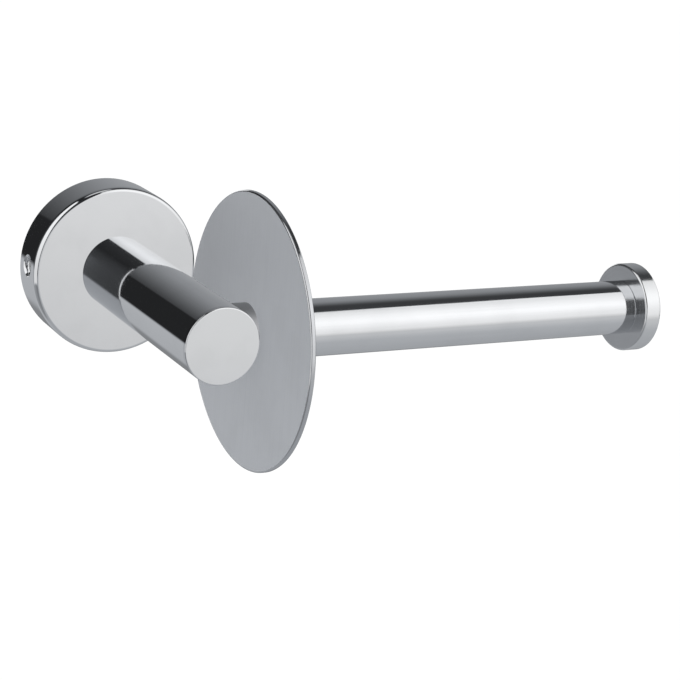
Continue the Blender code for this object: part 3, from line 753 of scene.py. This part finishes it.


# The edge's darker rest colour is painted shade along the edge.
disc_finish = steel_finish(
    "disc_steel", (0.85, 0.87, 0.90), 0.10,
    lambda graph, place: straight_grain(graph, place, (40.0, 2400.0, 45.0)),
    lines=0.05, haze=0.03, relief=0.0000010, face=disc_face, rest=(0.60, 0.61, 0.63),
)
disc_profile = profile(
    (DISC_NEAR, STUD_HOLE),
    arc((DISC_NEAR + DISC_EDGE[0], DISC_RADIUS - DISC_EDGE[1]), DISC_EDGE, 180, 90, 10),
    arc((DISC_FAR - DISC_EDGE[0], DISC_RADIUS - DISC_EDGE[1]), DISC_EDGE, 90, 0, 10),
    (DISC_FAR, STUD_HOLE),
)
guard_disc = add_turned(
    "guard_disc_brushed", disc_profile, DISC_STEPS, BAR_AXIS, BAR_ORIGIN, disc_finish,
    "polished_steel", "guard_disc", closed=True,
)

# %% [markdown]
# On the photograph the flange's bright face shows no picture of the arm or the disc, although it is
# polished, so the photograph seems to be retouched there. Blender can leave an object out of mirror
# images while the camera still sees it. That is done for the arm, the cap, the collar, the disc and
# all the pieces inside the arm and the near end of the bar, which would show through otherwise.

# %% Pieces that mirrors don't show
unmirrored = [arm_tube, arm_cap, saddle_collar, guard_disc]
inner_nodes = (
    "arm_base_plug", "arm_bolt", "arm_bolt_washer", "cross_block", "bar_stud", "bar_inner_plug",
)
unmirrored += [frame["nodes"][name] for name in inner_nodes]
for piece in unmirrored:
    piece.visible_glossy = False
print("left out of mirror images:", [piece.name for piece in unmirrored])

# %% [markdown]
# ## The bar
#
# The roll bar is a thinner tube, polished lengthwise, and its faint lines show in the broad highlight.
# Its far end has a broken corner, so a fine dark line runs round the joint with the knob. The tube is
# drawn as two halves that meet in the middle, because mirrors treat them differently: the knob shows
# the far half on the photograph, and the flange's face doesn't show the near one. The real tube is
# one piece, and both halves stand for the same CAD node.

# %% Bar tube
knob_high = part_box("end_knob")[1]
KNOB_RADIUS = knob_high.z
KNOB_FAR = knob_high.x
KNOB_THICKNESS = 0.0054
KNOB_NEAR = KNOB_FAR - KNOB_THICKNESS
BAR_WALL = 0.0010
BAR_BORE = BAR_RADIUS - BAR_WALL
BAR_EDGE = 0.0002
BAR_STEPS = 192

bar_finish = steel_finish(
    "bar_steel", STEEL, 0.04,
    lambda graph, place: straight_grain(graph, place, (14.0, 1500.0, 1500.0)),
    lines=0.10, haze=0.03, relief=0.0000028,
)
BAR_MIDDLE = (DISC_FAR + KNOB_NEAR) / 2
half_profiles = {
    "inner": profile((DISC_FAR, BAR_BORE), (DISC_FAR, BAR_RADIUS), (BAR_MIDDLE, BAR_RADIUS),
                     (BAR_MIDDLE, BAR_BORE)),
    "outer": profile((BAR_MIDDLE, BAR_BORE), (BAR_MIDDLE, BAR_RADIUS),
                     arc((KNOB_NEAR - BAR_EDGE, BAR_RADIUS - BAR_EDGE), BAR_EDGE, 90, 0, 5),
                     (KNOB_NEAR, BAR_BORE)),
}
bar_halves = {}
for half, half_profile in half_profiles.items():
    bar_halves[half] = add_turned(
        f"bar_tube_{half}_half", half_profile, BAR_STEPS, BAR_AXIS, BAR_ORIGIN, bar_finish,
        "polished_steel", "bar_tube", closed=True,
    )
bar_halves["inner"].visible_glossy = False

# %% [markdown]
# ## The end knob
#
# The knob is a thick disc from the lathe, whose rings show as fine lines round the rim. Its inner face
# is duller and painted a little darker, as painted shade, and still mirrors the bar.

# %% End knob
KNOB_EDGE = 0.0006
SPIGOT_RADIUS = 0.0067
SPIGOT_LENGTH = 0.0020
KNOB_MASK_FULL = 0.00005
KNOB_MASK_END = 0.0002
KNOB_FACE_ROUGHNESS = 0.14
KNOB_STEPS = 224


def knob_face(graph, place):
    """The knob's inner face, towards the bar."""
    out = graph.node("ShaderNodeSeparateXYZ", {}, {0: place}, (0,))
    mask = 1 - graph.rise(out, KNOB_NEAR + KNOB_MASK_FULL, KNOB_NEAR + KNOB_MASK_END)
    return mask, KNOB_FACE_ROUGHNESS


# The inner face's darker colour, against the rim's rest colour, is painted shade.
knob_finish = steel_finish(
    "knob_steel", (0.68, 0.69, 0.705), 0.12,
    lambda graph, place: turned_grain(graph, place, "X", BAR_ORIGIN, 2200.0),
    lines=0.08, haze=0.03, relief=0.0000022, face=knob_face, rest=(0.79, 0.80, 0.81),
)
knob_profile = profile(
    (KNOB_NEAR - SPIGOT_LENGTH, 0), (KNOB_NEAR - SPIGOT_LENGTH, SPIGOT_RADIUS),
    (KNOB_NEAR, SPIGOT_RADIUS), (KNOB_NEAR, KNOB_RADIUS - KNOB_EDGE),
    arc((KNOB_NEAR + KNOB_EDGE, KNOB_RADIUS - KNOB_EDGE), KNOB_EDGE, 180, 90, 8)[1:],
    arc((KNOB_FAR - KNOB_EDGE, KNOB_RADIUS - KNOB_EDGE), KNOB_EDGE, 90, 0, 8), (KNOB_FAR, 0),
)
add_turned(
    "end_knob_turned", knob_profile, KNOB_STEPS, BAR_AXIS, BAR_ORIGIN, knob_finish,
    "polished_steel", "end_knob",
)

# %% [markdown]
# ## The grub screw
#
# The grub screw sits in the flange's rim, a little below the surface, and locks the flange to the
# wall bracket. Only its end shows, with a hexagonal socket. The whole screw is one grid again: from
# the middle of the socket's floor out to a hexagon, up the socket's wall, out to a circle, over the
# chamfer, down the thread, and in to the middle of the flat point.

# %% Sizes of the grub screw
screw_low, screw_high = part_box("set_screw")
screw_out = np.array([math.cos(SCREW_TURN), 0, math.sin(SCREW_TURN)])
SCREW_AXIS = np.array([screw_out, [0, 1, 0], np.cross(screw_out, [0, 1, 0])])
SCREW_RADIUS = 0.0025
SCREW_SINK = 0.0013
SCREW_LENGTH = 0.0060
SCREW_HEAD = FLANGE_RADIUS - SCREW_SINK
SCREW_TIP = SCREW_HEAD - SCREW_LENGTH
HEAD_CHAMFER = 0.0004
TIP_CHAMFER = 0.0010
TIP_RADIUS = 0.0015
SOCKET_FLATS = 0.0025
SOCKET_DEPTH = 0.0027
SOCKET_CHAMFER = (0.00015, 0.00012)
SCREW_THREAD = 0.00042
SCREW_FADE = 12
SCREW_ROWS = 90
SCREW_STEPS = 72
cad_place = -(screw_low.y + screw_high.y) / 2
print("grub screw, mm off the middle:", round(1000 * SCREW_TIP, 1), "to", round(1000 * SCREW_HEAD, 1))
print("mm off the wall:", round(1000 * SCREW_PLACE, 2), "and in CAD", round(1000 * cad_place, 2))


# %% Rows of the grub screw
def hexagon_radius(turn, flats):
    """Distance from the middle to a hexagon's outline.

    It is half the hexagon's width over the cosine of the angle from the nearest flat's middle.
    """
    from_flat = (turn + np.pi / 6) % (np.pi / 3) - np.pi / 6
    return flats / 2 / np.cos(from_flat)


screw_turn = np.arange(SCREW_STEPS) * 2 * np.pi / SCREW_STEPS
hexagon = hexagon_radius(screw_turn, SOCKET_FLATS)
floor_along = SCREW_HEAD - SOCKET_DEPTH
body_along = np.linspace(SCREW_HEAD - HEAD_CHAMFER, SCREW_TIP + TIP_CHAMFER, SCREW_ROWS)[:, None]
from_end = np.linspace(0, SCREW_FADE, SCREW_ROWS)[:, None]
body_fade = np.minimum(1, from_end) * np.minimum(1, SCREW_FADE - from_end)
groove = 0.5 - 0.5 * thread_wave(body_along, screw_turn, THREAD_PITCH)
body_radius = SCREW_RADIUS - SCREW_THREAD * groove * body_fade
print("grid of the grub screw's thread:", body_radius.shape)

# %% Grub screw
flat_rows = [
    (floor_along, 0 * hexagon), (floor_along, hexagon), (SCREW_HEAD - SOCKET_CHAMFER[0], hexagon),
    (SCREW_HEAD, hexagon + SOCKET_CHAMFER[1]), (SCREW_HEAD, 0 * hexagon + SCREW_RADIUS - HEAD_CHAMFER),
]
screw_along = np.vstack(
    [along + 0 * hexagon for along, radius in flat_rows] + [body_along + 0 * hexagon]
    + [SCREW_TIP + 0 * hexagon, SCREW_TIP + 0 * hexagon]
)
screw_radius = np.vstack(
    [radius for along, radius in flat_rows] + [body_radius]
    + [TIP_RADIUS + 0 * hexagon, 0 * hexagon]
)
screw_grid = np.stack([
    screw_along, screw_radius * np.cos(screw_turn), screw_radius * np.sin(screw_turn)
], axis=-1)[::-1]
screw_finish = steel_finish(
    "grub_screw_steel", (0.52, 0.53, 0.54), 0.22,
    lambda graph, place: straight_grain(graph, place, (2500.0, 2500.0, 2500.0)),
    lines=0.10, haze=0.06, relief=0.0000030,
)
add_piece(
    "grub_screw_threaded", np.array([0, -SCREW_PLACE, 0]) + screw_grid.reshape(-1, 3) @ SCREW_AXIS,
    grid_faces(grid_index(screw_grid, closed=False)), screw_finish, "grub_screw", "set_screw_steel",
    "set_screw",
)

# %% [markdown]
# ## The wall screws
#
# Two pan-head screws hold the bracket to the wall. The flange hides them, but they show from behind
# and when the holder is pulled off. The thread is a thin ridge on a thinner core, and both get thinner
# towards the point. The cross recess is a hollow in the head: a depth that depends on the distance
# from the two blades of the cross.

# %% Sizes and thread of a wall screw
wall_low, wall_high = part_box("wall_screw_upper")
WALL_SCREW_RADIUS = 0.0020
WALL_CORE_RADIUS = 0.0013
WALL_PITCH = 0.0016
WALL_POINT = 0.0045
CREST_STEEPNESS = 2.6
HEAD_RADIUS = (wall_high.x - wall_low.x) / 2
HEAD_SEAT = 0.0021
HEAD_TOP = -wall_low.y
WALL_TIP = -wall_high.y
POINT_LENGTH = 0.0002
BARE_NECK = 0.0012
THREAD_START = WALL_TIP + POINT_LENGTH
THREAD_END = HEAD_SEAT - BARE_NECK
WALL_ROWS = 230
WALL_STEPS = 64

wall_turn = np.arange(WALL_STEPS) * 2 * np.pi / WALL_STEPS
shank_along = np.linspace(THREAD_START, THREAD_END, WALL_ROWS)[:, None]
crest = np.clip(1 - CREST_STEEPNESS * (1 - thread_wave(shank_along, wall_turn, WALL_PITCH)), 0, 1)
taper = np.clip((shank_along - WALL_TIP) / WALL_POINT, 0, 1)
shank_radius = taper * (WALL_CORE_RADIUS + (WALL_SCREW_RADIUS - WALL_CORE_RADIUS) * crest)
print("wall screw", round(1000 * (HEAD_TOP - WALL_TIP), 1), "mm long")

# %% Head of a wall screw
NECK_LENGTH = 0.0009
NECK_STEP = 0.0002
HEAD_BREAK = 0.0001
HEAD_SIDE = 0.0010
HEAD_CURVE = 0.0014

head_rows = profile(
    (HEAD_SEAT - NECK_LENGTH, WALL_CORE_RADIUS + NECK_STEP), (HEAD_SEAT, WALL_SCREW_RADIUS),
    (HEAD_SEAT, HEAD_RADIUS - HEAD_BREAK), (HEAD_SEAT + HEAD_BREAK, HEAD_RADIUS),
    (HEAD_SEAT + HEAD_SIDE, HEAD_RADIUS),
    arc((HEAD_TOP - HEAD_CURVE, HEAD_RADIUS - HEAD_CURVE), HEAD_CURVE, 90, 30, 8),
)
print("head, mm across:", round(2000 * HEAD_RADIUS, 1))

# %% Its dome, with the cross recess
DOME_ROWS = 39
BLADE_HALF_WIDTH = 0.00055
BLADE_REACH = 0.0023
RECESS_DEPTH = 0.0013
RECESS_SLOPE = 2.2
RECESS_EDGE = 1.15

last_along, last_radius = head_rows[-1]
dome_radius = np.linspace(last_radius, 0, DOME_ROWS + 1)[1:, None]
dome_along = last_along + (HEAD_TOP - last_along) * (1 - (dome_radius / last_radius) ** 2)
across, up = dome_radius * np.cos(wall_turn), dome_radius * np.sin(wall_turn)
blade = np.minimum(
    np.maximum(np.abs(across) / BLADE_HALF_WIDTH, np.abs(up) / BLADE_REACH),
    np.maximum(np.abs(up) / BLADE_HALF_WIDTH, np.abs(across) / BLADE_REACH),
)
recess = RECESS_DEPTH * np.clip(RECESS_SLOPE * (RECESS_EDGE - blade), 0, 1)
dome_grid = np.stack([dome_along - recess, across, up], axis=-1)
print("cross recess, mm deep:", round(1000 * recess.max(), 1))

# %% All the rows of a wall screw
tip_grid = np.zeros((1, WALL_STEPS, 3))
tip_grid[..., 0] = WALL_TIP
shank_grid = np.stack([
    shank_along + 0 * wall_turn, shank_radius * np.cos(wall_turn), shank_radius * np.sin(wall_turn)
], axis=-1)
wall_grid = np.concatenate([tip_grid, shank_grid, turn_profile(head_rows, WALL_STEPS), dome_grid])
print("wall screw grid has", wall_grid.shape[0], "rows of", wall_grid.shape[1], "points")

# %% Both wall screws
zinc_finish = steel_finish(
    "zinc_plate", (0.70, 0.715, 0.735), 0.26,
    lambda graph, place: straight_grain(graph, place, (1500.0, 1500.0, 1500.0)),
    lines=0.12, haze=0.10, relief=0.0000040,
)
wall_faces = grid_faces(grid_index(wall_grid, closed=False))
for label in ("upper", "lower"):
    low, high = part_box(f"wall_screw_{label}")
    middle = np.array([0, 0, (low.z + high.z) / 2])
    add_piece(
        f"wall_screw_{label}_threaded", middle + wall_grid.reshape(-1, 3) @ ARM_AXIS, wall_faces,
        zinc_finish, "bracket", "zinc_plated_steel", f"wall_screw_{label}",
    )

# %% [markdown]
# ## Pieces that keep their CAD mesh
#
# The bracket, the boss behind the grub screw and everything inside the tubes have the right shape
# already. They only need a finish: milled and pressed steel for the plain ones, and zinc plate for
# bolts, studs and washer.

# %% Finishes of the carried-over nodes
pressed_finish = steel_finish(
    "pressed_steel", (0.60, 0.605, 0.61), 0.28,
    lambda graph, place: straight_grain(graph, place, (900.0, 900.0, 60.0)),
    lines=0.14, haze=0.08, relief=0.0000050,
)
kept_finishes = {
    "machined_steel": pressed_finish, "zinc_plated_steel": zinc_finish,
    "polished_steel": arm_finish, "set_screw_steel": screw_finish,
}
for subpart in frame["record"]["subparts"]:
    node = frame["nodes"][subpart["node"]]
    for index in range(len(node.material_slots)):
        node.material_slots[index].material = kept_finishes[subpart["material_slot"]]
print("CAD nodes still shown:", [name for name, node in frame["nodes"].items() if not node.hide_render])
